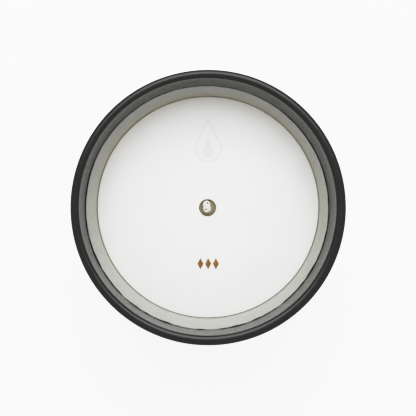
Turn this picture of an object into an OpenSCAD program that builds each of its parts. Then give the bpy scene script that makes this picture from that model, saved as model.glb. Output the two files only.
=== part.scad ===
// Container candle: a black glass vessel with a rounded lip, poured wax, a flat-braided cotton wick
// held by a tinplate sustainer, and a card dust cover that drops over the wick and rests on the wax.
// Units are millimetres. The origin is the centre of the base, with +Z up, and the cover's mark is
// on the +Y side of the wick.

/* [Vessel] */
// Outside diameter of the vessel
vessel_d = 80; // [78:0.5:90]
// Height from the table to the top of the lip
vessel_h = 90; // [86:1:110]
// Thickness of the rounded lip
lip_w = 2.7; // [2.2:0.1:3]
// Height of the lip's rounding, less than half its thickness where the top is flattened
lip_h = 0.8; // [0.6:0.1:1.3]
// Inside diameter where the wall meets the floor's corner
floor_inner_d = 72.9; // [70:0.1:73]
// Thickness of the glass floor, measured from the table
floor_z = 8; // [6:0.5:10]
// Radius of the inside corner at the floor
floor_corner_r = 5; // [3:0.5:7]
// Radius of the outside corner at the foot
foot_corner_r = 3.5; // [2:0.5:5]
// Diameter of the hollow under the base
base_hollow_d = 62; // [56:1:64]
// Depth of the hollow under the base
base_hollow_h = 1.5; // [1:0.1:2]

/* [Wax] */
// Height of the flat middle of the wax
fill_z = 68; // [60:0.5:70]
// Width of the ring of wax that turns up against the glass
meniscus_w = 3.3; // [2:0.1:3.4]
// Height that the wax climbs at the glass
meniscus_h = 2.2; // [1.5:0.1:3]

/* [Wick] */
// Long side of the flat braid
wick_w = 3.6; // [3:0.1:4]
// Short side of the flat braid
wick_t = 2.4; // [1.8:0.1:2.6]
// Length of the wick that shows above the cover
wick_show = 2.6; // [1:0.1:5]
// Angle of the braid's long side from +X
wick_turn = 102; // [0:1:180]

/* [Sustainer and sticker] */
// Diameter of the tinplate disc
sustainer_d = 20; // [16:1:24]
// Thickness of the tinplate
tinplate_t = 0.3; // [0.2:0.05:0.4]
// Height of the crimped neck above the disc
neck_h = 6; // [3:0.5:10]
// Diameter of the foam sticker
sticker_d = 18; // [14:1:20]
// Thickness of the foam sticker
sticker_t = 1; // [0.8:0.1:1.5]

/* [Dust cover] */
// Diameter of the card
cover_d = 67; // [64:0.1:67.4]
// Thickness of the card
cover_t = 1; // [0.8:0.1:1.4]
// Diameter of the wick hole
wick_hole_d = 5.2; // [5:0.1:6]
// Depth of the blind mark pressed into the card
mark_depth = 0.15; // [0.1:0.01:0.25]
// Distance from the wick to the middle of the blind mark
mark_y = 20.4; // [18:0.1:22]
// Height of the blind mark
mark_h = 13.4; // [10:0.1:14]
// Distance from the wick to the foil marks
foil_y = 17.1; // [15:0.1:19]
// Height of each foil lozenge
foil_h = 3.5; // [2:0.1:4]
// Width of each foil lozenge
foil_w = 1.9; // [1:0.1:2.2]
// Distance between the foil lozenges
foil_pitch = 2.35; // [2.3:0.05:4]

/* [Base label] */
// Diameter of the paper label in the base hollow
label_d = 46; // [36:1:50]
// Thickness of the paper label
label_t = 0.12; // [0.1:0.01:0.2]

/* [Hidden] */
$fn = 96;

vessel_r = vessel_d / 2;
lip_z = vessel_h - lip_h;
lip_inner_r = vessel_r - lip_w;
floor_inner_r = floor_inner_d / 2;
foot_slope_w = 1.2;

wax_edge_land = 0.25;
meniscus_steps = 10;

sticker_z = floor_z + sticker_t;
cover_z = fill_z;
cover_top = cover_z + cover_t;
wick_top = cover_top + wick_show;

foil_t = 0.05;
foil_depth = 0.08;

mark_point = 2.2; // the flame's tip is this many radii above the middle of its round part
mark_r = mark_h / (1 + mark_point);
mark_line = 0.5;
mark_core_r = mark_r * 0.4;
mark_core_y = -mark_r * 0.28;

// Points on an oval arc in the section plane, from angle a0 to angle a1
function oval_arc(cx, cz, rx, rz, a0, a1, steps) =
    [for (i = [0:steps]) let (a = a0 + (a1 - a0) * i / steps) [cx + rx * cos(a), cz + rz * sin(a)]];

function arc(cx, cz, r, a0, a1, steps) = oval_arc(cx, cz, r, r, a0, a1, steps);

// The inside radius flares from the floor to the lip, faster near the top
function inner_r(z) =
    floor_inner_r + (lip_inner_r - floor_inner_r) * pow((z - floor_z) / (lip_z - floor_z), 2);

corner_z = floor_z + floor_corner_r;
corner_top_r = inner_r(corner_z);

// The inside of the wall between two heights, going up
function inner_wall(z0, z1, steps) =
    [for (i = [0:steps]) let (z = z0 + (z1 - z0) * i / steps) [inner_r(z), z]];

// The inside of the floor and its corner, from the axis outwards
floor_line = concat(
    [[0, floor_z]],
    arc(corner_top_r - floor_corner_r, corner_z, floor_corner_r, -90, 0, 8)
);

wax_top_z = fill_z + meniscus_h;

// The inside of the glass up to the wax line, then on up to the lip
wet_wall = inner_wall(corner_z + 2, wax_top_z, 8);
dry_wall = inner_wall(wax_top_z + 2, lip_z, 6);

function reversed(list) = [for (i = [len(list) - 1:-1:0]) list[i]];

module vessel_section() {
    polygon(concat(
        [[0, base_hollow_h], [base_hollow_d / 2 - foot_slope_w, base_hollow_h], [base_hollow_d / 2, 0]],
        arc(vessel_r - foot_corner_r, foot_corner_r, foot_corner_r, -90, 0, 8),
        oval_arc(vessel_r - lip_w / 2, lip_z, lip_w / 2, lip_h, 0, 180, 14),
        reversed(dry_wall),
        reversed(wet_wall),
        reversed(floor_line)
    ));
}

module vessel() {
    color([0.05, 0.05, 0.052])
        rotate_extrude() vessel_section();
}

// The wax turns up in a hollow curve from its flat middle to a thin land at the glass
wax_edge_r = inner_r(wax_top_z);
meniscus_start_r = wax_edge_r - meniscus_w;
meniscus_run = meniscus_w - wax_edge_land;
meniscus_line = [
    for (i = [0:meniscus_steps]) let (t = i / meniscus_steps)
        [meniscus_start_r + meniscus_run * t, fill_z + meniscus_h * pow(t, 1.8)]
];

module wax_section() {
    polygon(concat(
        floor_line,
        wet_wall,
        reversed(meniscus_line),
        [[0, fill_z]]
    ));
}

// The cross-section of the flat braid, or of anything that hugs it, grown by a margin
module braid_outline(margin = 0) {
    t = wick_t + 2 * margin;
    half = (wick_w - wick_t) / 2;
    rotate(wick_turn) {
        square([2 * half, t], center = true);
        for (side = [-1, 1]) translate([side * half, 0]) circle(d = t);
    }
}

module wick() {
    color([0.93, 0.9, 0.82])
        translate([0, 0, sticker_z]) linear_extrude(wick_top - sticker_z) braid_outline();
}

module sustainer_body() {
    translate([0, 0, sticker_z]) cylinder(d = sustainer_d, h = tinplate_t);
    translate([0, 0, sticker_z]) linear_extrude(tinplate_t + neck_h) braid_outline(tinplate_t);
}

module wick_sustainer() {
    color([0.72, 0.73, 0.74])
        difference() {
            sustainer_body();
            translate([0, 0, sticker_z - 1]) linear_extrude(neck_h + 3) braid_outline();
        }
}

module wick_sticker() {
    color([0.95, 0.95, 0.93])
        translate([0, 0, floor_z]) cylinder(d = sticker_d, h = sticker_t);
}

module wax() {
    color([0.84, 0.84, 0.8])
        difference() {
            rotate_extrude() wax_section();
            translate([0, 0, floor_z - 1]) cylinder(d = sticker_d, h = sticker_t + 1);
            sustainer_body();
            translate([0, 0, sticker_z]) linear_extrude(fill_z) braid_outline();
        }
}

// A pointed flame outline around a round base, with its middle at the origin
module flame(r) {
    a = acos(1 / mark_point);
    circle(r);
    polygon([[-r * sin(a), r * cos(a)], [0, r * mark_point], [r * sin(a), r * cos(a)], [0, 0]]);
}

module blind_mark() {
    translate([0, mark_r - mark_h / 2]) {
        difference() {
            flame(mark_r);
            flame(mark_r - mark_line);
        }
        translate([0, mark_core_y]) flame(mark_core_r);
    }
}

module foil_lozenges() {
    for (i = [-1:1]) translate([i * foil_pitch, -foil_y])
        polygon([[-foil_w / 2, 0], [0, -foil_h / 2], [foil_w / 2, 0], [0, foil_h / 2]]);
}

module dust_cover() {
    color([0.93, 0.93, 0.92])
        difference() {
            translate([0, 0, cover_z]) cylinder(d = cover_d, h = cover_t, $fn = 180);
            translate([0, 0, cover_z - 1]) cylinder(d = wick_hole_d, h = cover_t + 2);
            translate([0, mark_y, cover_top - mark_depth]) linear_extrude(1) blind_mark();
            translate([0, 0, cover_top - foil_depth]) linear_extrude(1) foil_lozenges();
        }
}

module foil_mark() {
    color([0.58, 0.37, 0.17])
        translate([0, 0, cover_top - foil_depth]) linear_extrude(foil_t) foil_lozenges();
}

module base_label() {
    color([0.9, 0.89, 0.86])
        translate([0, 0, base_hollow_h - label_t]) cylinder(d = label_d, h = label_t);
}

vessel();
wax();
wick();
wick_sustainer();
wick_sticker();
dust_cover();
foil_mark();
base_label();
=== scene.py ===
"""A container candle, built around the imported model: detailed meshes, materials, light and camera.

Everything is in metres, +Z up, with the origin at the centre of the base.
"""
import math

import bpy
import numpy as np
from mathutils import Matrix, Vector, geometry, noise


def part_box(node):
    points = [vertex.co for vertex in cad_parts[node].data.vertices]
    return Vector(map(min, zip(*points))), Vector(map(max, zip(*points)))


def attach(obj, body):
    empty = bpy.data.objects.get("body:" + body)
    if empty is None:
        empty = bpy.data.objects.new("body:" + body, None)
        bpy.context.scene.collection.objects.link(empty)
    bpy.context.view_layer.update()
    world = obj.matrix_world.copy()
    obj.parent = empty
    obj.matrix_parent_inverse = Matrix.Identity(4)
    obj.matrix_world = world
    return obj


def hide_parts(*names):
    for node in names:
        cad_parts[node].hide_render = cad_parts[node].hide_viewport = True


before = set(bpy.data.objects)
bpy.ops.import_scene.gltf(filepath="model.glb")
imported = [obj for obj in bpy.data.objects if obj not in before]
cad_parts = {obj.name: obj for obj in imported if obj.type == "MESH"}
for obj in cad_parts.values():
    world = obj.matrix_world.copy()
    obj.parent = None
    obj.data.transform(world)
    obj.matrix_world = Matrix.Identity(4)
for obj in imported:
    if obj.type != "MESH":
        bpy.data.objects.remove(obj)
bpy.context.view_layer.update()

MM = 0.001
TURN = 2 * math.pi
SAME_PLACE = 1e-7  # points closer together than this are one point
chance = np.random.default_rng(7)

# ---- Sizes: of whole parts from the frame, of their details as in the CAD --------------------------

VESSEL_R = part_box("vessel")[1].x
RIM_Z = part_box("vessel")[1].z
LIP_W = 2.7 * MM
LIP_H = 0.8 * MM
LIP_Z = RIM_Z - LIP_H
LIP_INNER_R = VESSEL_R - LIP_W
FLOOR_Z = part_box("wick_sticker")[0].z
FLOOR_INNER_R = 36.45 * MM
FLOOR_CORNER_R = 5 * MM
CORNER_Z = FLOOR_Z + FLOOR_CORNER_R
FOOT_CORNER_R = 3.5 * MM
HOLLOW_R = 31 * MM
HOLLOW_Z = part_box("base_label")[1].z

CARD_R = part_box("dust_cover")[1].x
CARD_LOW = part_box("dust_cover")[0].z
CARD_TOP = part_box("dust_cover")[1].z
HOLE_R = 2.6 * MM
FILL_Z = CARD_LOW
WAX_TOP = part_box("wax")[1].z
FIT = 0.02 * MM  # room left between hidden faces of the wax and what it touches

WICK_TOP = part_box("wick")[1].z
WICK_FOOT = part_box("wick")[0].z
WICK_W = 3.6 * MM
WICK_T = 2.4 * MM
WICK_TURN = math.radians(102)
YARNS = 11  # in each of the three bundles, round its core
PLAIT_PITCH = 8.4 * MM
TWIST_PITCH = 11 * MM
SHEET_T = 0.3 * MM

FOIL_Y = (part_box("foil_mark")[0].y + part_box("foil_mark")[1].y) / 2
FOIL_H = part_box("foil_mark")[1].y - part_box("foil_mark")[0].y
FOIL_W = 1.9 * MM
FOIL_PITCH = (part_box("foil_mark")[1].x * 2 - FOIL_W) / 2
MARK_Y = 20.4 * MM
MARK_H = 13.4 * MM
MARK_POINT = 2.2  # the flame's tip is this many radii above the middle of its round part
MARK_LINE = 0.5 * MM
PRESS = 0.15 * MM

# How far the photo's mouth, wax line, card edge, wick hole and wick top are off the vessel's axis
LIP_SHIFT = Vector((-0.15, 0.19)) * MM
FILL_SHIFT = Vector((-0.32, -0.07)) * MM
CARD_SHIFT = Vector((-0.02, 0.13)) * MM
HOLE_SHIFT = Vector((-0.18, -0.06)) * MM
WICK_LEAN = Vector((-0.50, 0.38)) * MM


def inner_radius(z):
    """The inside radius of the glass at a height, which flares towards the lip."""
    rise = (z - FLOOR_Z) / (LIP_Z - FLOOR_Z)
    return FLOOR_INNER_R + (LIP_INNER_R - FLOOR_INNER_R) * rise ** 2


def shift_bore(loops, share):
    """Moves a share of each point with the blown bore, which wanders off the axis going up."""
    heights = (FLOOR_Z, WAX_TOP, LIP_Z)
    for i in (0, 1):
        loops[..., i] += share * np.interp(loops[..., 2], heights, (0, FILL_SHIFT[i], LIP_SHIFT[i]))


# ---- Light and camera ----------------------------------------------------------------------------

# How bright each light source itself is, where 1.0 is plain white
ROOM_LIGHT = 0.93
KEY_LIGHT = 5.3
FLOOR_GLOW = 1.0

KEY_SIZE = (0.9, 0.95)
KEY_PLACE = (0, 0.68, 1.09)
FLOOR_ALBEDO = 0.75

# The light value where the film shoulder starts, the tone it levels off at, and the last value it maps
SHOULDER_START = 0.51
SHOULDER_TOP = 0.975
SHOULDER_RANGE = 4.0

LENS = 128.35
CAMERA_HEIGHT = 430 * MM  # above the lip
CAMERA_PLACE = (-0.05 * MM, -0.12 * MM)

# ---- Mesh tools ----------------------------------------------------------------------------------

def finish_mesh(name, points, faces, materials, sharp=40, face_material=None):
    """A smooth-shaded object from points and faces. face_material(face) picks a face's slot."""
    mesh = bpy.data.meshes.new(name)
    mesh.from_pydata([tuple(p) for p in points], [], faces)
    mesh.validate()
    for material in materials:
        mesh.materials.append(material)
    piece = bpy.data.objects.new(name, mesh)
    bpy.context.scene.collection.objects.link(piece)
    if face_material:
        for face in mesh.polygons:
            face.material_index = face_material(face)
    mesh.shade_smooth()
    mesh.set_sharp_from_angle(angle=math.radians(sharp))
    return piece


def loft(loops, closed=False, start_pole=None, end_pole=None):
    """Points and quads through loops of equal length. closed joins the last loop to the first."""
    loops = np.asarray(loops)
    count, around = loops.shape[:2]
    points = loops.reshape(-1, 3).tolist()
    faces = []
    for i in range(count if closed else count - 1):
        low, high = i * around, (i + 1) % count * around
        for j in range(around):
            k = (j + 1) % around
            faces.append((low + j, low + k, high + k, high + j))
    for pole, first, flip in ((start_pole, 0, True), (end_pole, (count - 1) * around, False)):
        if pole is None:
            continue
        points.append(tuple(pole))
        for j in range(around):
            k = (j + 1) % around
            rim = (first + k, first + j) if flip else (first + j, first + k)
            faces.append((*rim, len(points) - 1))
    return points, faces


def spun(profile, around):
    """Loops of a (radius, height) profile spun about Z, and the angles used."""
    angles = np.arange(around) * TURN / around
    profile = np.asarray(profile)
    loops = np.empty((len(profile), around, 3))
    loops[..., 0] = profile[:, :1] * np.cos(angles)
    loops[..., 1] = profile[:, :1] * np.sin(angles)
    loops[..., 2] = profile[:, 1:]
    return loops, angles


def arc(centre_r, centre_z, radius, start, end, steps, rise=None):
    """Points of an arc in the (radius, height) plane, from one angle in degrees to another.

    rise is the upright half axis of an oval arc.
    """
    angles = np.radians(np.linspace(start, end, steps + 1))
    rise = rise or radius
    return [(centre_r + radius * math.cos(a), centre_z + rise * math.sin(a)) for a in angles]


def wave(angles, sizes, seed):
    """A smooth random value around a circle, about -1 to 1. sizes are (turns, weight) pairs."""
    draw = np.random.default_rng(seed)
    total = sum(weight for _, weight in sizes)
    value = np.zeros_like(angles)
    for turns, weight in sizes:
        value += weight / total * np.sin(turns * angles + draw.uniform(0, TURN))
    return value


def smooth(low, high, x):
    """0 below low, 1 above high, and a smooth step between."""
    t = np.clip((x - low) / (high - low), 0, 1)
    return t * t * (3 - 2 * t)


def wick_distance(x, y):
    """Signed distance from the flat oval of the wick."""
    along = x * math.cos(WICK_TURN) + y * math.sin(WICK_TURN)
    across = -x * math.sin(WICK_TURN) + y * math.cos(WICK_TURN)
    half = (WICK_W - WICK_T) / 2
    return np.hypot(np.abs(along) - np.minimum(np.abs(along), half), across) - WICK_T / 2


# ---- Material tools ------------------------------------------------------------------------------

class Surface:
    """One material: a Principled shader, with short calls that add the nodes which drive it."""

    def __init__(self, name, **values):
        self.material = bpy.data.materials.new(name)
        self.material.use_nodes = True
        self.tree = self.material.node_tree
        self.shader = self.tree.nodes["Principled BSDF"]
        self.place = self.add("ShaderNodeTexCoord").outputs["Object"]
        for socket, value in values.items():
            self.drive(socket.replace("_", " "), value)

    def add(self, kind, inputs=(), **settings):
        """A new node with values or links on its inputs, and its own settings."""
        made = self.tree.nodes.new(kind)
        for key, value in settings.items():
            setattr(made, key, value)
        for socket, value in dict(inputs).items():
            self.put(made.inputs[socket], value)
        return made

    def put(self, socket, value):
        """Links another node's output to a socket, or sets the socket's own value."""
        if isinstance(value, bpy.types.NodeSocket):
            self.tree.links.new(value, socket)
        elif isinstance(value, tuple) and len(value) == 3 and socket.type == "RGBA":
            socket.default_value = (*value, 1)
        else:
            socket.default_value = value

    def drive(self, socket, value):
        """Puts a value or a link on one of the shader's sockets."""
        self.put(self.shader.inputs[socket], value)

    def stretched(self, scale):
        """The place on the piece, scaled along each axis. A small scale draws the pattern out."""
        return self.add("ShaderNodeMapping", {"Vector": self.place, "Scale": scale}).outputs["Vector"]

    def noise(self, size, detail=3, rough=0.5, twist=0, place=None):
        """Cloudy noise with features of about size metres."""
        inputs = {"Vector": place or self.place, "Scale": 1 / size, "Detail": detail}
        inputs.update({"Roughness": rough, "Distortion": twist})
        return self.add("ShaderNodeTexNoise", inputs).outputs["Fac"]

    def specks(self, size):
        """Distance to scattered points about size metres apart, in units of size."""
        return self.add("ShaderNodeTexVoronoi", {"Vector": self.place, "Scale": 1 / size}).outputs["Distance"]

    def remap(self, value, low, high, to_low=0.0, to_high=1.0):
        """A smooth step from to_low, where the value is low, to to_high, where it is high."""
        inputs = {"Value": value, "From Min": low, "From Max": high, "To Min": to_low, "To Max": to_high}
        return self.add("ShaderNodeMapRange", inputs, interpolation_type="SMOOTHSTEP").outputs["Result"]

    def calculate(self, operation, first, second):
        return self.add("ShaderNodeMath", {0: first, 1: second}, operation=operation).outputs[0]

    def sum(self, first, second):
        return self.calculate("ADD", first, second)

    def product(self, first, second):
        return self.calculate("MULTIPLY", first, second)

    def mix(self, amount, first, second):
        """The first colour where the amount is 0, and the second where it is 1."""
        inputs = {"Factor": amount, 6: first, 7: second}
        return self.add("ShaderNodeMix", inputs, data_type="RGBA").outputs[2]

    def along(self, axis):
        """How far along X, Y or Z the place on the piece is, in metres."""
        return self.add("ShaderNodeSeparateXYZ", {0: self.place}).outputs[axis]

    def radius(self):
        """Distance from the Z axis, in metres."""
        flat = self.add("ShaderNodeVectorMath", {0: self.place, 1: (1, 1, 0)}, operation="MULTIPLY")
        return self.add("ShaderNodeVectorMath", {0: flat.outputs[0]}, operation="LENGTH").outputs["Value"]

    def bump(self, *layers):
        """Bump from (height value, depth in metres) layers, laid over each other."""
        normal = None
        for value, depth in layers:
            inputs = {"Height": value, "Distance": depth}
            if normal:
                inputs["Normal"] = normal
            normal = self.add("ShaderNodeBump", inputs).outputs["Normal"]
        self.drive("Normal", normal)


def satin_glass(name, specular, ripple):
    """Black glass with a faint ripple, handling marks and a little dust.

    Returns the surface, and its colour and roughness for the caller to drive.
    """
    black, dust_grey = (0.004, 0.004, 0.0042), (0.10, 0.097, 0.094)
    s = Surface(name, IOR=1.5, Specular_IOR_Level=specular)
    smudge = s.remap(s.noise(14 * MM, 4, 0.6, 0.6), 0.5, 0.68)
    fine = s.noise(0.5 * MM, 2)
    streak = s.noise(1.2 * MM, 3, 0.6, 0, s.stretched((1, 1, 0.12)))
    dust = s.remap(s.specks(2.4 * MM), 0.035, 0.02)
    dust = s.product(dust, s.remap(s.noise(9 * MM), 0.52, 0.6))
    colour = s.mix(s.product(dust, 0.5), black, dust_grey)
    satin = s.sum(s.remap(streak, 0.35, 0.65, 0.17, 0.21), s.product(smudge, 0.07))
    satin = s.sum(satin, s.product(dust, 0.3))
    s.bump((s.noise(5 * MM, 2), ripple), (fine, 0.06 * ripple), (dust, 0.5 * ripple))
    return s, colour, satin


def black_glass():
    """The outside of the vessel."""
    s, colour, satin = satin_glass("black_glass", 0.28, 0.06 * MM)
    s.drive("Base Color", colour)
    s.drive("Roughness", satin)
    return s.material


def filmed_glass_painted_light():
    """The inside of the vessel, with a pale coat of wax that ends below the lip, painted paler on the -Y side
    as painted light, where that wall faces the soft box.
    """
    s, colour, satin = satin_glass("filmed_glass_painted_light", 0.16, 0.02 * MM)
    wax_white = (0.95, 0.95, 0.90)
    film_and_painted_light = s.remap(s.noise(3 * MM, 4, 0.6, 0.5, s.stretched((1, 1, 0.35))), 0.3, 0.7, 0.88, 1.12)
    # painted light: the wax coat is painted paler on the -Y wall, which faces the soft box
    film_and_painted_light = s.product(film_and_painted_light, s.remap(s.along("Y"), -VESSEL_R, 0.05 * VESSEL_R, 0.10, 0.016))
    film_and_painted_light = s.product(film_and_painted_light, s.remap(s.along("Z"), LIP_Z - 3.5 * MM, LIP_Z - 0.5 * MM, 1, 0))
    s.drive("Base Color", s.mix(film_and_painted_light, colour, wax_white))
    s.drive("Roughness", s.sum(satin, 0.06))
    return s.material


def poured_wax():
    """Pale wax, frosted in patches, with an olive ring at the card's edge that is painted shade, darkest on
    +Y, and a greasy brown patch round the wick that is painted darker as painted shade inside the card's
    hole.
    """
    clear, frosted, grainy = (0.468, 0.470, 0.435), (0.498, 0.500, 0.465), (0.41, 0.41, 0.375)
    grease_and_shade_tint, soaked_and_shaded_brown = (0.46, 0.425, 0.285), (0.235, 0.195, 0.115)
    s = Surface("poured_wax", IOR=1.44, Subsurface_Weight=0.35, Subsurface_Scale=2.5 * MM)
    s.drive("Subsurface Radius", (1.0, 0.85, 0.6))
    frost = s.remap(s.noise(4.5 * MM, 5, 0.62, 0.8), 0.42, 0.66)
    grain = s.noise(0.35 * MM, 3, 0.6)
    colour = s.mix(frost, clear, frosted)
    colour = s.mix(s.remap(grain, 0.55, 0.75, 0, 0.2), colour, grainy)
    # painted shade: an olive ring at the card's edge, fading outwards and darkest on +Y in the wall's shadow
    card_edge_shade = s.remap(s.radius(), CARD_R, CARD_R + 2.6 * MM, 1, 0)
    card_edge_shade = s.product(card_edge_shade, s.remap(s.radius(), CARD_R - 2.5 * MM, CARD_R))
    card_edge_shade = s.product(card_edge_shade, s.remap(s.along("Y"), -0.9 * CARD_R, 0.9 * CARD_R, 0.1, 0.75))
    colour = s.mix(card_edge_shade, colour, grease_and_shade_tint)
    # partly a real greasy stain round the wick, partly painted shade: painted dark as the shade inside the
    # card's hole
    uneven = s.product(s.sum(s.noise(2 * MM), -0.5), 1.6 * MM)
    soaked_and_shaded = s.remap(s.sum(s.radius(), uneven), 2.9 * MM, 4.2 * MM, 1, 0)
    s.drive("Base Color", s.mix(soaked_and_shaded, colour, soaked_and_shaded_brown))
    s.drive("Roughness", s.remap(frost, 0, 1, 0.42, 0.58))
    pits = s.remap(s.specks(1.3 * MM), 0.12, 0.05)
    s.bump((s.noise(3 * MM, 3), 0.10 * MM), (grain, 0.025 * MM), (s.product(pits, -1.0), 0.03 * MM))
    return s.material


def white_card():
    """Uncoated white card with felt-like fibre grain, painted greyer in its pressed recesses as painted
    shade, greasy round its hole, and painted yellower towards its outer edge, most on +Y, as painted shade.
    """
    white, bright_white = (0.875, 0.877, 0.868), (0.905, 0.905, 0.895)
    fibre_grey, recess_shade_grey, grease_and_shade_tint = (0.80, 0.80, 0.785), (0.74, 0.74, 0.725), (0.82, 0.80, 0.69)
    s = Surface("white_card", Specular_IOR_Level=0.25)
    felt = s.noise(1.1 * MM, 5, 0.65, 0.4)
    fibre = s.noise(0.22 * MM, 2, 0.5, 1.5, s.stretched((1, 0.35, 1)))
    cloud = s.noise(9 * MM, 2)
    colour = s.mix(s.remap(cloud, 0.3, 0.7), white, bright_white)
    colour = s.mix(s.remap(fibre, 0.56, 0.8, 0, 0.4), colour, fibre_grey)
    # painted shade: the pressed recesses are painted greyer
    pressed = s.remap(s.along("Z"), CARD_TOP - 0.8 * PRESS, CARD_TOP - 0.3 * PRESS, 0.8, 0)
    above_layers = s.remap(s.along("Z"), CARD_LOW + 0.3 * MM, CARD_LOW + 0.5 * MM)
    colour = s.mix(s.product(pressed, above_layers), colour, recess_shade_grey)
    # painted shade: the card is painted yellower towards its outer edge, most on +Y in the wall's shadow; the
    # ring round the hole is a greasy stain
    shaded_side = s.remap(s.along("Y"), 0, CARD_R, 0.15, 1)
    grease_and_shade = s.product(s.remap(s.radius(), CARD_R - 5 * MM, CARD_R, 0, 0.6), shaded_side)
    grease_and_shade = s.sum(grease_and_shade, s.remap(s.radius(), HOLE_R, HOLE_R + 0.7 * MM, 0.5, 0))
    s.drive("Base Color", s.mix(grease_and_shade, colour, grease_and_shade_tint))
    s.drive("Roughness", s.remap(felt, 0.3, 0.7, 0.78, 0.94))
    s.bump((felt, 0.05 * MM), (fibre, 0.012 * MM))
    return s.material


def cut_card_edge():
    """The die-cut edge of the card: brownish layers with loose fibre."""
    brown, tan, loose_fibre = (0.36, 0.31, 0.19), (0.54, 0.48, 0.33), (0.66, 0.62, 0.52)
    s = Surface("cut_card_edge", Specular_IOR_Level=0.2, Roughness=0.92)
    layers = s.noise(0.16 * MM, 3, 0.6, 0.3, s.stretched((0.15, 0.15, 1)))
    lint = s.noise(0.12 * MM, 3, 0.7)
    colour = s.mix(s.remap(layers, 0.35, 0.65), brown, tan)
    s.drive("Base Color", s.mix(s.remap(lint, 0.55, 0.8, 0, 0.6), colour, loose_fibre))
    s.bump((layers, 0.05 * MM), (lint, 0.04 * MM))
    return s.material


def copper_foil():
    """Hot-stamped copper foil that has taken the grain of the card, with pinholes."""
    dark_copper, copper, pinhole = (0.235, 0.108, 0.034), (0.29, 0.145, 0.052), (0.34, 0.25, 0.18)
    s = Surface("copper_foil", Metallic=1.0)
    grain = s.noise(0.7 * MM, 4, 0.6)
    fine = s.noise(0.12 * MM, 2)
    tint = s.mix(s.remap(grain, 0.35, 0.65), dark_copper, copper)
    s.drive("Base Color", s.mix(s.remap(fine, 0.68, 0.76), tint, pinhole))
    s.drive("Roughness", s.remap(grain, 0.3, 0.7, 0.18, 0.30))
    s.bump((grain, 0.03 * MM), (fine, 0.006 * MM))
    return s.material


def waxed_cotton():
    """Bleached cotton yarn, stiff with a thin coat of wax."""
    bleached, cream, fibre_brown = (0.94, 0.93, 0.89), (0.92, 0.89, 0.81), (0.74, 0.66, 0.52)
    s = Surface("waxed_cotton", Subsurface_Weight=0.2, Subsurface_Scale=0.4 * MM)
    fibre = s.noise(0.09 * MM, 4, 0.6, 0.5, s.stretched((1, 1, 0.3)))
    patch = s.noise(0.9 * MM, 3)
    colour = s.mix(s.remap(patch, 0.35, 0.65), bleached, cream)
    s.drive("Base Color", s.mix(s.remap(fibre, 0.6, 0.8, 0, 0.4), colour, fibre_brown))
    s.drive("Roughness", s.remap(patch, 0.3, 0.7, 0.5, 0.75))
    s.bump((fibre, 0.03 * MM))
    return s.material


def paper_core():
    """The wick's twisted kraft paper core, soaked with wax."""
    dark_kraft, kraft = (0.26, 0.16, 0.075), (0.40, 0.27, 0.14)
    s = Surface("paper_core", Roughness=0.55)
    twist = s.noise(0.15 * MM, 3, 0.6, 0.4, s.stretched((1, 1, 0.4)))
    s.drive("Base Color", s.mix(s.remap(twist, 0.35, 0.65), dark_kraft, kraft))
    s.bump((twist, 0.03 * MM))
    return s.material


def tinplate():
    """Rolled tinplate with faint rolling lines and spangle."""
    dark_tin, bright_tin = (0.64, 0.65, 0.66), (0.75, 0.76, 0.77)
    s = Surface("tinplate", Metallic=1.0)
    lines = s.noise(0.25 * MM, 3, 0.6, 0, s.stretched((1, 0.06, 1)))
    spangle = s.noise(2.2 * MM, 2)
    s.drive("Base Color", s.mix(s.remap(spangle, 0.35, 0.65), dark_tin, bright_tin))
    s.drive("Roughness", s.remap(lines, 0.3, 0.7, 0.18, 0.34))
    s.bump((lines, 0.006 * MM))
    return s.material


def adhesive_foam():
    """Closed-cell foam tape."""
    foam, cell_wall = (0.90, 0.90, 0.87), (0.78, 0.78, 0.75)
    s = Surface("adhesive_foam", Roughness=0.85)
    cells = s.specks(0.28 * MM)
    s.drive("Base Color", s.mix(s.remap(cells, 0.1, 0.7), foam, cell_wall))
    s.bump((cells, 0.05 * MM))
    return s.material


def label_paper():
    """Blank coated label with one printed ring inside its edge."""
    shade, paper_white, ink = (0.86, 0.85, 0.82), (0.89, 0.88, 0.86), (0.10, 0.10, 0.10)
    s = Surface("label_paper", Specular_IOR_Level=0.4)
    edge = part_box("base_label")[1].x
    out = s.remap(s.radius(), edge - 1.7 * MM, edge - 1.65 * MM, 1, 0)
    ring = s.product(out, s.remap(s.radius(), edge - 2.05 * MM, edge - 2.0 * MM))
    fibre = s.noise(0.4 * MM, 4, 0.6)
    paper = s.mix(s.remap(fibre, 0.35, 0.65), shade, paper_white)
    s.drive("Base Color", s.mix(ring, paper, ink))
    s.drive("Roughness", s.remap(fibre, 0.3, 0.7, 0.5, 0.62))
    s.bump((fibre, 0.01 * MM))
    return s.material


# ---- The glass vessel ----------------------------------------------------------------------------

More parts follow.
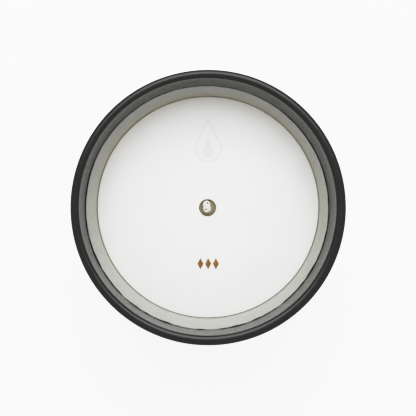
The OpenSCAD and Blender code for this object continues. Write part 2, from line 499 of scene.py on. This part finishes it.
def vessel_profile():
    """The section of the glass, from the middle of its base, up the outside and over the lip to its floor."""
    round_r = 0.7 * MM
    profile = [(r, HOLLOW_Z) for r in np.linspace(4 * MM, HOLLOW_R - 2 * round_r, 10)]
    profile += arc(HOLLOW_R - 2 * round_r, HOLLOW_Z - round_r, round_r, 75, 0, 4)
    profile += arc(HOLLOW_R + 0.4 * MM, round_r, round_r, 200, 270, 4)
    profile += [(r, 0) for r in np.linspace(HOLLOW_R + 0.8 * MM, VESSEL_R - FOOT_CORNER_R, 12)]
    profile += arc(VESSEL_R - FOOT_CORNER_R, FOOT_CORNER_R, FOOT_CORNER_R, -84, 0, 14)
    profile += [(VESSEL_R, z) for z in np.linspace(FOOT_CORNER_R, LIP_Z, 26)[1:-1]]
    profile += arc(VESSEL_R - LIP_W / 2, LIP_Z, LIP_W / 2, 0, 180, 28, LIP_H)
    profile += [(inner_radius(z), z) for z in np.linspace(LIP_Z, CORNER_Z, 40)[1:-1]]
    profile += arc(inner_radius(CORNER_Z) - FLOOR_CORNER_R, CORNER_Z, FLOOR_CORNER_R, 0, -90, 14)
    profile += [(r, FLOOR_Z) for r in (24 * MM, 12 * MM, 4 * MM)]
    return profile


def stipple_foot(loops, angles):
    """Sinks small recesses into the ring that the vessel stands on."""
    depth = 0.16 * MM
    radii = np.hypot(loops[..., 0], loops[..., 1])
    ring = smooth(32 * MM, 32.8 * MM, radii) * smooth(36.4 * MM, 35.6 * MM, radii)
    under = loops[..., 2] < 0.2 * MM
    recesses = smooth(0.1, 0.8, np.sin(72 * angles + 900 * radii))
    loops[..., 2] += depth * ring * under * recesses


def make_vessel():
    """The glass vessel, with its bore a little off the axis."""
    loops, angles = spun(vessel_profile(), around=576)
    stipple_foot(loops, angles)
    radii = np.hypot(loops[..., 0], loops[..., 1])
    shift_bore(loops, smooth(VESSEL_R - 0.15 * LIP_W, LIP_INNER_R, radii))
    points, faces = loft(loops, start_pole=(0, 0, HOLLOW_Z), end_pole=(0, 0, FLOOR_Z))

    def slot_of(face):
        x, y, z = face.center
        return int(FLOOR_Z - MM < z < LIP_Z and math.hypot(x, y) < VESSEL_R - MM)

    materials = [black_glass(), filmed_glass_painted_light()]
    piece = finish_mesh("glass_vessel", points, faces, materials, sharp=60, face_material=slot_of)
    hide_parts("vessel")
    return piece


# ---- The wax -------------------------------------------------------------------------------------

def lumps(x, y, layer, size):
    """Smooth random values at each point, with features of about size metres."""
    return np.array([noise.noise(Vector((a, b, layer)) / size) for a, b in zip(x, y)])


def wax_surface(x, y, edge_r, climb):
    """Height of the wax at a point: flat under the card, with a step round its edge, sunk a little
    near the wick, and turned up at the glass."""
    r = np.hypot(x, y)
    ripple = 0.06 * MM * lumps(x, y, 0.3, 5 * MM) + 0.012 * MM * lumps(x, y, 4.0, 1.1 * MM)
    shrink = 0.22 * MM * np.exp(-((r - 5.5 * MM) / (3.2 * MM)) ** 2)
    height = FILL_Z - 0.10 * MM - shrink + ripple
    to_wick = np.maximum(wick_distance(x, y), 0)
    height += 0.55 * MM * np.exp(-to_wick / (0.45 * MM))
    past_card = np.hypot(x - CARD_SHIFT.x, y - CARD_SHIFT.y) - CARD_R
    facing = (y / r) ** 2
    step = (0.47 + 0.25 * facing) * MM * smooth(0.02 * MM, (0.40 - 0.19 * facing) * MM, past_card)
    start_r = CARD_R + 0.10 * MM
    up = np.clip((r - start_r) / (edge_r - start_r), 0, 1)
    return height + step + climb * up ** 1.7


def wax_gap(angles):
    """How far the wax has shrunk from the glass all round, most of all on -Y, where it has nicks too."""
    nicks = wave(angles, [(9, 1), (23, 1), (41, 0.8), (67, 0.6)], 3)
    lower_side = smooth(-0.2, 1.0, -np.sin(angles))
    gap = 0.25 + 0.10 * np.cos(2 * angles) + 0.12 * lower_side + 0.02 * wave(angles, [(3, 1), (5, 1)], 5)
    return np.maximum(gap + (0.04 + 0.17 * lower_side) * nicks, 0.13) * MM


def wax_top_loops(angles, edge_r):
    """Loops of the wax's top, from the wick out to its turned-up edge."""
    climb = (1.56 + 0.10 * wave(angles, [(2, 1), (5, 1), (11, 0.6)], 9)) * MM
    start_r = CARD_R - 0.6 * MM
    rings = [np.full(len(angles), r) for r in np.linspace(0.6 * MM, 4.2 * MM, 14)]
    rings += [np.full(len(angles), r) for r in np.linspace(4.8 * MM, CARD_R - 0.8 * MM, 36)]
    rings += [start_r + t * (edge_r - start_r) for t in np.linspace(0, 1, 26)]
    loops = []
    for ring in rings:
        x, y = ring * np.cos(angles), ring * np.sin(angles)
        loops.append(np.stack([x, y, wax_surface(x, y, edge_r, climb)], axis=-1))
    return loops


def wax_side_loops(angles, edge_r, gap, top):
    """Loops from the wax's rounded edge down the glass, where the gap closes within 4 mm."""
    roll = 0.10 * MM
    loops = []
    for step in np.radians([30, 60, 90]):
        r = edge_r + roll * math.sin(step)
        z = top - roll * (1 - math.cos(step))
        loops.append(np.stack([r * np.cos(angles), r * np.sin(angles), z], axis=-1))
    for drop, share in ((0.6, 0.9), (1.4, 0.75), (2.4, 0.4), (3.2, 0.1), (4.0, 0.02)):
        z = top - roll - drop * MM
        r = inner_radius(z) - FIT - (gap - roll) * share
        loops.append(np.stack([r * np.cos(angles), r * np.sin(angles), z], axis=-1))
    return loops


def hidden_wax_profile():
    """The section of the wax down the glass, along the floor and over the sustainer's disc."""
    corner_r = inner_radius(CORNER_Z) - FLOOR_CORNER_R
    disc_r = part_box("wick_sustainer")[1].x + 0.2 * MM
    disc_z = WICK_FOOT + SHEET_T + FIT
    profile = [(inner_radius(z) - FIT, z) for z in np.linspace(FILL_Z - 6 * MM, CORNER_Z, 10)]
    profile += arc(corner_r, CORNER_Z, FLOOR_CORNER_R - FIT, 0, -90, 8)[1:]
    profile += [(18 * MM, FLOOR_Z + FIT), (disc_r, FLOOR_Z + FIT), (disc_r, disc_z), (4 * MM, disc_z)]
    return profile


def make_wax():
    """The poured wax, with a wavy turned-up edge that has shrunk a little from the glass."""
    around = 480
    angles = np.arange(around) * TURN / around
    gap = wax_gap(angles)
    edge_r = inner_radius(WAX_TOP) - gap
    loops = wax_top_loops(angles, edge_r)
    middle = (0, 0, float(loops[0][:, 2].mean()))
    loops += wax_side_loops(angles, edge_r, gap, loops[-1][:, 2])
    hidden = hidden_wax_profile()
    hidden_loops, _ = spun(hidden, around)
    loops = np.array([*loops, *hidden_loops])
    shift_bore(loops, smooth(CARD_R, edge_r.min(), np.hypot(loops[..., 0], loops[..., 1])))
    points, faces = loft(loops, start_pole=middle, end_pole=(0, 0, hidden[-1][1]))
    faces = [face[::-1] for face in faces]
    piece = finish_mesh("poured_wax", points, faces, [poured_wax()], sharp=70)
    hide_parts("wax")
    return piece


# ---- The card cover and its marks ----------------------------------------------------------------

def flame_distance(x, y, radius):
    """Signed distance from a flame outline: a circle drawn up to a point above it."""
    tip = radius * MARK_POINT
    lean = radius / tip
    side = math.sqrt(1 - lean * lean)
    x = np.abs(x)
    past_circle = y * side - x * lean
    in_cone = x * side + y * lean - radius
    at_tip = (x * lean - (y - tip) * side) < 0
    distance = np.where(past_circle < 0, np.hypot(x, y) - radius, in_cone)
    return np.where(at_tip & (past_circle > 0), np.hypot(x, y - tip), distance)


def lozenge_distance(x, y):
    """Distance from the edge of the nearest foil lozenge, below 0 inside it."""
    half_w, half_h = FOIL_W / 2, FOIL_H / 2
    slope = math.hypot(1 / half_w, 1 / half_h)
    each = [np.abs(x - i * FOIL_PITCH) / half_w + np.abs(y - FOIL_Y) / half_h - 1 for i in (-1, 0, 1)]
    return np.min(each, axis=0) / slope


def mark_distances(x, y):
    """Signed distances from the middle of the blind flame's line and from the edge of its core."""
    radius = MARK_H / (1 + MARK_POINT)
    up = y - MARK_Y - (radius - MARK_H / 2)
    outline = flame_distance(x, up, radius - MARK_LINE / 2)
    core = flame_distance(x, up + 0.28 * radius, 0.4 * radius)
    return outline, core


def card_surface(x, y):
    """Depth of the card's top below its flat level: blind mark, foil recess and rolled-over edges."""
    r = np.hypot(x, y)
    outline, core = mark_distances(x, y)
    depth = PRESS * smooth(0.38 * MM, 0.16 * MM, np.abs(outline))
    depth = np.maximum(depth, PRESS * smooth(0.16 * MM, -0.06 * MM, core))
    depth = np.maximum(depth, 0.07 * MM * smooth(0.16 * MM, 0.0, lozenge_distance(x, y)))
    for inwards in (CARD_R - r, r - HOLE_R):
        near = np.clip(1 - inwards / (0.16 * MM), 0, 1)
        depth = depth + 0.09 * MM * near ** 2.2
    return depth


def off_centre(points):
    """Points of the card or its foil, moved so that the hole and the outer edge are a little off centre."""
    points = np.array(points)
    r = np.hypot(points[:, 0], points[:, 1])
    near_hole = smooth(9 * MM, HOLE_R, r)
    near_edge = smooth(HOLE_R, CARD_R, r)
    points[:, :2] += np.outer(near_hole, HOLE_SHIFT) + np.outer(near_edge, CARD_SHIFT)
    return points


def grid_points(low_x, high_x, low_y, high_y, step):
    """Points of a square grid, one (x, y) in each row."""
    columns, rows = np.meshgrid(np.arange(low_x, high_x, step), np.arange(low_y, high_y, step))
    return np.stack([columns.ravel(), rows.ravel()], axis=-1)


def edge_rings():
    """Rings of flat points at the card's outer edge and at its hole."""
    rings = []
    for edge, way, count in ((CARD_R, -1, 420), (HOLE_R, 1, 120)):
        for inset in (0, 0.04, 0.09, 0.16):
            angles = np.arange(count) * TURN / count
            r = edge + way * inset * MM
            rings.append(np.stack([r * np.cos(angles), r * np.sin(angles)], axis=-1))
    return rings


def mark_points():
    """Fine rows of flat points along the edges of the blind mark and of the foil."""
    step = 0.11 * MM
    at_flame = grid_points(-5 * MM, 5 * MM, 13 * MM, 28 * MM, step)
    at_foil = grid_points(-4 * MM, 4 * MM, -20 * MM, -14 * MM, step)
    points = np.concatenate([at_flame, at_foil])
    x, y = points[:, 0], points[:, 1]
    outline, core = mark_distances(x, y)
    near_line = np.abs(outline) < 0.62 * MM
    near_core = np.abs(core) < 0.4 * MM
    near_foil = np.abs(lozenge_distance(x, y)) < 0.35 * MM
    return points[near_line | near_core | near_foil]


def card_points():
    """Flat points for the card's top: rings at its edges, fine rows at its marks, coarse elsewhere."""
    coarse = grid_points(-CARD_R, CARD_R, -CARD_R, CARD_R, 1.0 * MM)
    coarse = coarse + chance.uniform(-0.1, 0.1, coarse.shape) * MM
    r = np.hypot(coarse[:, 0], coarse[:, 1])
    coarse = coarse[(r < CARD_R - 0.6 * MM) & (r > HOLE_R + 0.6 * MM)]
    return np.concatenate([*edge_rings(), mark_points(), coarse])


def card_top():
    """Points and triangles of the card's top, with no triangle inside the hole."""
    flat = [Vector(p) for p in card_points()]
    flat, _, triangles = geometry.delaunay_2d_cdt(flat, [], [], 0, SAME_PLACE)[:3]
    flat = np.array([tuple(p) for p in flat])
    centres = flat[np.array(triangles)].mean(axis=1)
    faces = [tuple(t) for t, (x, y) in zip(triangles, centres) if math.hypot(x, y) > HOLE_R]
    heights = CARD_TOP - card_surface(flat[:, 0], flat[:, 1])
    points = [(x, y, z) for (x, y), z in zip(flat, heights)]
    return points, faces


def rim_of(points, edge):
    """Indices of the points at a radius, in order round the circle."""
    flat = np.array(points)[:, :2]
    radii = np.hypot(flat[:, 0], flat[:, 1])
    rim = np.nonzero(np.abs(radii - edge) < 10 * SAME_PLACE)[0]
    return rim[np.argsort(np.arctan2(flat[rim, 1], flat[rim, 0]))]


def add_cut_edge(points, faces, rim, edge, way):
    """Adds the cut face below a rim, and returns its lowest ring. way is 1 outside and -1 in the hole."""
    above = list(rim)
    for share in (0.3, 0.55, 0.8, 0.97, 1.0):
        ring = []
        for index in rim:
            x, y, z = points[index]
            lint = noise.noise(Vector((x, y, share * MM)) / (0.35 * MM)) if share < 0.9 else 0
            inset = 0.02 * MM * abs(lint) + (0.05 * MM if share == 1.0 else 0)
            scale = 1 - inset * way / edge
            ring.append(len(points))
            points.append((x * scale, y * scale, z * (1 - share) + CARD_LOW * share))
        for j in range(len(rim)):
            k = (j + 1) % len(rim)
            quad = (above[j], ring[j], ring[k], above[k])
            faces.append(quad if way > 0 else quad[::-1])
        above = ring
    return above


def add_underside(points, faces, outer, inner):
    """Adds flat triangles between the lowest outer ring and the hole's lowest ring."""
    order = outer + inner
    flat = [Vector(points[i][:2]) for i in order]
    _, _, triangles, sources = geometry.delaunay_2d_cdt(flat, [], [], 0, SAME_PLACE)[:4]
    for triangle in triangles:
        ends = [sources[i][0] for i in triangle]
        inside_hole = min(ends) >= len(outer)
        if not inside_hole:
            faces.append(tuple(order[i] for i in reversed(ends)))


def make_card():
    """The card cover: a triangulated top with its pressed marks, cut edges, and a plain underside."""
    points, faces = card_top()
    outer_rim, hole_rim = rim_of(points, CARD_R), rim_of(points, HOLE_R)
    outer = add_cut_edge(points, faces, outer_rim, CARD_R, 1)
    inner = add_cut_edge(points, faces, hole_rim, HOLE_R, -1)
    add_underside(points, faces, outer, inner)

    def slot_of(face):
        return int(abs(face.normal.z) < 0.5 and face.center.z < CARD_TOP - 0.08 * MM)

    materials = [white_card(), cut_card_edge()]
    piece = finish_mesh("card_cover", off_centre(points), faces, materials, sharp=50, face_material=slot_of)
    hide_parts("dust_cover")
    return piece


def add_lozenge(points, faces, middle_x):
    """Adds one foil lozenge: a grained top with a rolled edge, a skirt and a flat underside."""
    n = 25
    steps = np.linspace(-1, 1, n)
    top_z = CARD_TOP - 0.03 * MM
    low_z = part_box("foil_mark")[0].z
    first = len(points)
    for u in steps:
        for v in steps:
            x = middle_x + FOIL_W / 2 * (u + v) / 2
            y = FOIL_Y + FOIL_H / 2 * (u - v) / 2
            grain = noise.noise(Vector((x, y, 0)) / (0.5 * MM)) * 0.006 * MM
            past_flat = max(0.0, (max(abs(u), abs(v)) - 0.85) / 0.15)
            points.append((x, y, top_z + grain - 0.02 * MM * past_flat ** 2))
    for a in range(n - 1):
        for b in range(n - 1):
            corner = first + a * n + b
            faces.append((corner, corner + 1, corner + n + 1, corner + n))
    rim = [first + b for b in range(n)] + [first + a * n + n - 1 for a in range(1, n)]
    rim += [first + (n - 1) * n + b for b in range(n - 2, -1, -1)]
    rim += [first + a * n for a in range(n - 2, 0, -1)]
    skirt = len(points)
    points += [(points[p][0], points[p][1], low_z) for p in rim]
    for j in range(len(rim)):
        k = (j + 1) % len(rim)
        faces.append((rim[k], rim[j], skirt + j, skirt + k))
    faces.append(tuple(skirt + j for j in reversed(range(len(rim)))))


def make_foil():
    """Three foil lozenges pressed into the card."""
    points, faces = [], []
    for i in (-1, 0, 1):
        add_lozenge(points, faces, i * FOIL_PITCH)
    piece = finish_mesh("copper_lozenges", off_centre(points), faces, [copper_foil()], sharp=50)
    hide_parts("foil_mark")
    return piece


# ---- The wick and what holds it ------------------------------------------------------------------

def tube(path, radii, sides, points, faces):
    """Adds a closed tube along a path to points and faces."""
    path = np.asarray(path)
    along = np.gradient(path, axis=0)
    along /= np.linalg.norm(along, axis=1, keepdims=True)
    across = np.cross(along, (0.31, 0.95, 0.02))
    across /= np.linalg.norm(across, axis=1, keepdims=True)
    other = np.cross(along, across)
    angles = np.arange(sides) * TURN / sides
    circle = across[:, None] * np.cos(angles)[None, :, None] + other[:, None] * np.sin(angles)[None, :, None]
    loops = path[:, None] + circle * np.asarray(radii)[:, None, None]
    first = len(points)
    new_points, new_faces = loft(loops, start_pole=path[0], end_pole=path[-1])
    points += new_points
    faces += [tuple(first + i for i in face) for face in new_faces]


def wick_path(heights, bundle, yarn):
    """The line of one yarn: it twists round its bundle's core, and three bundles are plaited flat."""
    turn = (heights - WICK_TOP) / PLAIT_PITCH * TURN + 0.75 * TURN + bundle * TURN / 3
    along = (WICK_W / 2 - 0.92 * MM) * np.sin(turn)
    across = (WICK_T / 2 - 0.73 * MM) * np.sin(2 * turn)
    if yarn:
        twist = heights / TWIST_PITCH * TURN + yarn * TURN / YARNS
        along = along + 0.71 * MM * np.cos(twist)
        across = across + 0.48 * MM * np.sin(twist)
    lean = smooth(FILL_Z - 3 * MM, WICK_TOP, heights)
    cos, sin = math.cos(WICK_TURN), math.sin(WICK_TURN)
    x = along * cos - across * sin + WICK_LEAN.x * lean
    y = along * sin + across * cos + WICK_LEAN.y * lean
    return np.stack([x, y, heights], axis=-1)


def add_hairs(end, points, faces):
    """Adds the loose fibres at the cut end of a yarn."""
    for _ in range(5):
        lean = chance.uniform(-1, 1, 2) * 0.13 * MM
        start = end + np.array([*lean, 0.0])
        reach = min(chance.uniform(0.08, 0.3) * MM, WICK_TOP - start[2])
        steps = np.linspace(0, 1, 5)[:, None]
        out = np.array([*(lean * chance.uniform(0.2, 1.4)), reach])
        curl = np.array([*(chance.uniform(-0.06, 0.06, 2) * MM), 0])
        hair = start + steps * out + steps ** 2 * curl
        tube(hair, np.linspace(0.022, 0.009, 5) * MM, 4, points, faces)


def make_wick():
    """Three bundles plaited flat, each of cotton yarns round a paper core, with a trimmed, frayed end."""
    points, faces, slots = [], [], []
    for bundle in range(3):
        for yarn in range(YARNS + 1):
            is_core = yarn == 0
            top = WICK_TOP - (0.3 if is_core else chance.uniform(0.06, 0.34)) * MM
            heights = np.concatenate([
                np.arange(WICK_FOOT + 0.2 * MM, FILL_Z - 2 * MM, 0.6 * MM),
                np.arange(FILL_Z - 2 * MM, top, 0.09 * MM),
            ])
            path = wick_path(heights, bundle, yarn)
            uneven = np.array([noise.noise(Vector(p) / (0.5 * MM)) for p in path])
            radii = (0.20 + 0.03 * uneven) * MM
            radii[-2:] *= (0.93, 0.62)
            tube(path, radii, 8, points, faces)
            if not is_core:
                add_hairs(path[-2], points, faces)
            slots += [int(is_core)] * (len(faces) - len(slots))
    piece = finish_mesh("braided_wick", points, faces, [waxed_cotton(), paper_core()], sharp=80)
    piece.data.polygons.foreach_set("material_index", slots)
    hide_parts("wick")
    return piece


def oval_loop(angles, grow, z):
    """A loop round the wick's flat oval, grown by a margin, at one height."""
    half, r = (WICK_W - WICK_T) / 2, WICK_T / 2 + grow
    along = half * np.tanh(6 * np.cos(angles)) + r * np.cos(angles)
    across = r * np.sin(angles)
    cos, sin = math.cos(WICK_TURN), math.sin(WICK_TURN)
    return np.stack([along * cos - across * sin, along * sin + across * cos, np.full_like(angles, z)], -1)


def make_sustainer():
    """The tinplate foot of the wick: a disc with an oval neck, crimped on the braid."""
    around = 120
    angles = np.arange(around) * TURN / around
    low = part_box("wick_sustainer")[0].z
    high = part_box("wick_sustainer")[1].z
    rim_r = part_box("wick_sustainer")[1].x
    disc_top = low + SHEET_T

    def disc(radius, z):
        return spun([(radius, z)], around)[0][0]

    def neck(grow, z):
        pinch = 0.18 * MM * math.exp(-((z - low - 3.6 * MM) / (0.7 * MM)) ** 2)
        loop = oval_loop(angles, grow, z)
        flats = np.abs(np.sin(angles)) ** 3
        loop[:, :2] *= (1 - pinch * flats / (WICK_T / 2))[:, None]
        return loop

    loops = [neck(0, z) for z in np.linspace(low, high - 0.1 * MM, 24)]
    loops += [neck(0.1 * MM, high), neck(0.2 * MM, high), neck(SHEET_T, high - 0.1 * MM)]
    loops += [neck(SHEET_T, z) for z in np.linspace(high - 0.3 * MM, disc_top + 0.4 * MM, 22)]
    loops += [neck(SHEET_T + 0.15 * MM, disc_top + 0.12 * MM), neck(SHEET_T + 0.5 * MM, disc_top)]
    loops += [disc(r * MM, disc_top) for r in (4, 5.5, 7, 8.5)]
    loops += [disc(rim_r - 0.1 * MM, disc_top), disc(rim_r, disc_top - 0.08 * MM)]
    loops += [disc(rim_r, low + 0.08 * MM), disc(rim_r - 0.1 * MM, low)]
    loops += [disc(r * MM, low) for r in (8, 6, 4)]
    points, faces = loft(loops, closed=True)
    faces = [face[::-1] for face in faces]
    piece = finish_mesh("tin_sustainer", points, faces, [tinplate()], sharp=50)
    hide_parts("wick_sustainer")
    return piece


def make_sticker():
    """The foam pad under the sustainer, squeezed so that its edge bulges."""
    low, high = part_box("wick_sticker")[0].z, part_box("wick_sticker")[1].z
    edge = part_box("wick_sticker")[1].x
    profile = [(r * MM, low) for r in (2, 4, 6, 8)]
    for t in np.linspace(-1, 1, 11):
        profile.append((edge - 0.35 * MM * abs(t) ** 2.2, low + (high - low) * (t + 1) / 2))
    profile += [(r * MM, high) for r in (8, 6, 4, 2)]
    loops, _ = spun(profile, around=120)
    points, faces = loft(loops, start_pole=(0, 0, low), end_pole=(0, 0, high))
    piece = finish_mesh("foam_sticker", points, faces, [adhesive_foam()], sharp=60)
    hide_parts("wick_sticker")
    return piece


def make_label():
    """The blank paper label in the hollow of the base, with a slightly lifted edge."""
    low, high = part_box("base_label")[0].z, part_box("base_label")[1].z
    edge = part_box("base_label")[1].x
    radii = np.concatenate([np.linspace(2 * MM, edge - 1 * MM, 12), np.linspace(edge - 0.8 * MM, edge, 5)])
    under = [(r, low) for r in radii]
    over = [(r, high) for r in radii[::-1]]
    loops, angles = spun(under + over, around=240)
    radius = np.hypot(loops[..., 0], loops[..., 1])
    lift = smooth(edge - 2.5 * MM, edge, radius) * (1 + wave(angles, [(3, 1), (7, 1)], 21))
    loops[..., 2] -= 0.05 * MM * lift
    points, faces = loft(loops, start_pole=(0, 0, low), end_pole=(0, 0, high))
    piece = finish_mesh("paper_label", points, faces, [label_paper()], sharp=50)
    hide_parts("base_label")
    return piece


# ---- Floor, light and camera ---------------------------------------------------------------------

def make_floor():
    """A plain white table that gives back some light of its own, so that shadows on it stay faint."""
    s = Surface("floor", Base_Color=(FLOOR_ALBEDO,) * 3, Roughness=0.9, Specular_IOR_Level=0.1)
    s.drive("Emission Color", (1.0, 1.0, 1.0))
    s.drive("Emission Strength", FLOOR_GLOW)
    half = 4.0
    corners = [(-half, -half, 0), (half, -half, 0), (half, half, 0), (-half, half, 0)]
    floor = finish_mesh("floor", corners, [(0, 1, 2, 3)], [s.material])


def film_shoulder(light):
    """The tone of a light value: straight up to a point, then levelling off below white."""
    room = SHOULDER_TOP - SHOULDER_START
    over = max(light - SHOULDER_START, 0)
    return min(light, SHOULDER_START) + room * (1 - math.exp(-over / room))


def make_tones():
    """Rolls off the highlights as a camera does."""
    view = bpy.context.scene.view_settings
    view.view_transform = "Standard"
    view.use_curve_mapping = True
    mapping = view.curve_mapping
    mapping.white_level = (SHOULDER_RANGE,) * 3
    curve = mapping.curves[3]
    curve.points[1].location = (1, film_shoulder(SHOULDER_RANGE))
    for light in (0.25, 0.5, 0.6, 0.75, 0.95, 1.2, 1.55, 2.0, 2.7):
        curve.points.new(light / SHOULDER_RANGE, film_shoulder(light))
    mapping.update()


def make_light():
    """A pale room and one large soft box above the candle, on its +Y side."""
    scene = bpy.context.scene
    world = bpy.data.worlds.new("room")
    world.use_nodes = True
    world.node_tree.nodes["Background"].inputs["Color"].default_value = (1, 1, 1, 1)
    world.node_tree.nodes["Background"].inputs["Strength"].default_value = ROOM_LIGHT
    scene.world = world
    box = bpy.data.lights.new("soft_box", "AREA")
    box.shape = "RECTANGLE"
    box.size, box.size_y = KEY_SIZE
    box.energy = KEY_LIGHT * math.pi * box.size * box.size_y
    lamp = bpy.data.objects.new("soft_box", box)
    lamp.location = KEY_PLACE
    lamp.visible_camera = False
    scene.collection.objects.link(lamp)


def make_camera():
    """Straight above the candle, framed as the photograph is."""
    camera = bpy.data.cameras.new("camera")
    camera.sensor_width = 36
    camera.lens = LENS
    camera.clip_start = 0.01
    camera.clip_end = 20
    above = bpy.data.objects.new("camera", camera)
    above.location = (*CAMERA_PLACE, LIP_Z + CAMERA_HEIGHT)
    bpy.context.scene.collection.objects.link(above)
    bpy.context.scene.camera = above


make_camera()
make_tones()
make_light()
make_floor()
for piece in (make_vessel(), make_wax(), make_wick(), make_sustainer(), make_sticker(), make_label()):
    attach(piece, "candle")
for piece in (make_card(), make_foil()):
    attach(piece, "cover")
